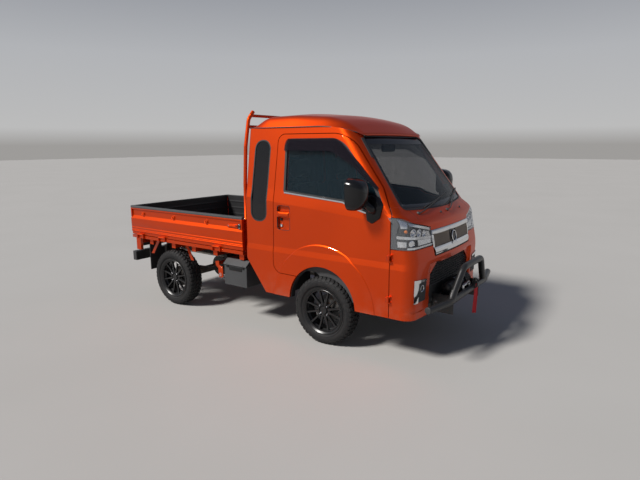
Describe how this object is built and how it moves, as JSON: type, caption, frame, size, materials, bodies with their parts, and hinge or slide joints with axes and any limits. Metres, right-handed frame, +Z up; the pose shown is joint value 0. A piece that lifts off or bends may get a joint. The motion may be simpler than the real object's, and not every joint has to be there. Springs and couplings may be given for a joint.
{
  "type": "kei pickup truck",
  "caption": "Small cab-over pickup with a long cab, drop-side load bed, guard frame, bull bar and winch; doors and gates open, the front wheels steer and all wheels roll.",
  "frame": {"origin": "on the ground, under the middle of the outer box", "axes": "+X forward, +Y to the left, +Z up"},
  "size_m": [3.592, 1.908, 1.9595],
  "materials": {
    "orange_paint": "gloss",
    "glass": "clear",
    "lamp_lens": "clear lens over a bright reflector",
    "rear_lens": "gloss",
    "black_plastic": "fine grain",
    "floor_lining": "matt",
    "seat_fabric": "woven",
    "black_steel": "satin",
    "cast_iron": "rough cast",
    "bare_steel": "dull",
    "rubber": "matt",
    "webbing": "woven",
    "tyre": "matt",
    "alloy": "black gloss with machined spoke faces"
  },
  "bodies": {
    "root": {"bed_floor": "orange_paint", "bull_bar": "black_steel", "cab_floor": "floor_lining", "cab_glass": "glass", "cab_roof": "orange_paint", "cab_shell": "orange_paint", "chassis_frame": "black_steel", "dashboard": "black_plastic", "engine_block": "cast_iron", "exhaust": "bare_steel", "fog_lamps": "lamp_lens", "front_bumper": "orange_paint", "front_panel": "orange_paint", "front_suspension": "black_steel", "fuel_tank": "bare_steel", "grille": "black_plastic", "guard_frame": "orange_paint", "headlamps": "lamp_lens", "mud_flaps": "rubber", "rear_axle": "black_steel", "rear_beam": "black_steel", "rear_lamps": "rear_lens", "seat_backs": "seat_fabric", "seat_cushions": "seat_fabric", "steering_column": "black_plastic", "tool_box": "black_plastic", "tool_box_lid": "black_plastic", "winch": "black_steel", "winch_strap": "webbing", "windshield": "glass"},
    "door_left": {"door_left": "orange_paint", "door_glass_left": "glass", "mirror_left": "black_plastic"},
    "door_right": {"door_right": "orange_paint", "door_glass_right": "glass", "mirror_right": "black_plastic"},
    "side_gate_left": {"side_gate_left": "orange_paint", "side_gate_trim_left": "black_plastic"},
    "side_gate_right": {"side_gate_right": "orange_paint", "side_gate_trim_right": "black_plastic"},
    "tail_gate": {"tail_gate": "orange_paint", "tail_gate_trim": "black_plastic"},
    "steering_wheel": {"steering_wheel": "black_plastic"},
    "knuckle_left": {"knuckle_left": "cast_iron"},
    "knuckle_right": {"knuckle_right": "cast_iron"},
    "wheel_front_left": {"tyre_front_left": "tyre", "rim_front_left": "alloy"},
    "wheel_front_right": {"tyre_front_right": "tyre", "rim_front_right": "alloy"},
    "wheel_rear_left": {"tyre_rear_left": "tyre", "rim_rear_left": "alloy"},
    "wheel_rear_right": {"tyre_rear_right": "tyre", "rim_rear_right": "alloy"}
  },
  "joints": [
    {"name": "door_left_hinge", "type": "hinge", "parent": "root", "child": "door_left", "pos_m": [1.383, 0.746, 0.66], "axis": [0, 0, -1], "range_deg": [0, 65]},
    {"name": "side_gate_left_hinge", "type": "hinge", "parent": "root", "child": "side_gate_left", "pos_m": [-0.934, 0.745, 0.702], "axis": [-1, 0, 0], "range_deg": [0, 175]},
    {"name": "door_right_hinge", "type": "hinge", "parent": "root", "child": "door_right", "pos_m": [1.383, -0.746, 0.66], "axis": [0, 0, 1], "range_deg": [0, 65]},
    {"name": "side_gate_right_hinge", "type": "hinge", "parent": "root", "child": "side_gate_right", "pos_m": [-0.934, -0.745, 0.702], "axis": [1, 0, 0], "range_deg": [0, 175]},
    {"name": "tail_gate_hinge", "type": "hinge", "parent": "root", "child": "tail_gate", "pos_m": [-1.787, 0, 0.702], "axis": [0, -1, 0], "range_deg": [0, 175]},
    {"name": "steer_left", "type": "hinge", "parent": "root", "child": "knuckle_left", "pos_m": [0.766, 0.545, 0.289], "axis": [0, 0, 1], "range_deg": [-35, 35]},
    {"name": "steer_right", "type": "hinge", "parent": "root", "child": "knuckle_right", "pos_m": [0.766, -0.545, 0.289], "axis": [0, 0, 1], "range_deg": [-35, 35]},
    {"name": "steering_wheel_turn", "type": "hinge", "parent": "root", "child": "steering_wheel", "pos_m": [0.996, -0.34, 0.985], "axis": [-0.6018, 0, 0.7986], "range_deg": [-420, 420]},
    {"name": "wheel_front_left_spin", "type": "hinge", "parent": "knuckle_left", "child": "wheel_front_left", "pos_m": [0.766, 0.655, 0.289], "axis": [0, 1, 0], "continuous": true},
    {"name": "wheel_front_right_spin", "type": "hinge", "parent": "knuckle_right", "child": "wheel_front_right", "pos_m": [0.766, -0.655, 0.289], "axis": [0, 1, 0], "continuous": true},
    {"name": "wheel_rear_left_spin", "type": "hinge", "parent": "root", "child": "wheel_rear_left", "pos_m": [-1.134, 0.655, 0.289], "axis": [0, 1, 0], "continuous": true},
    {"name": "wheel_rear_right_spin", "type": "hinge", "parent": "root", "child": "wheel_rear_right", "pos_m": [-1.134, -0.655, 0.289], "axis": [0, 1, 0], "continuous": true}
  ],
  "couplings": [
    {"joint": "steer_right", "follows": "steer_left", "ratio": 1},
    {"joint": "steering_wheel_turn", "follows": "steer_left", "ratio": 12}
  ]
}
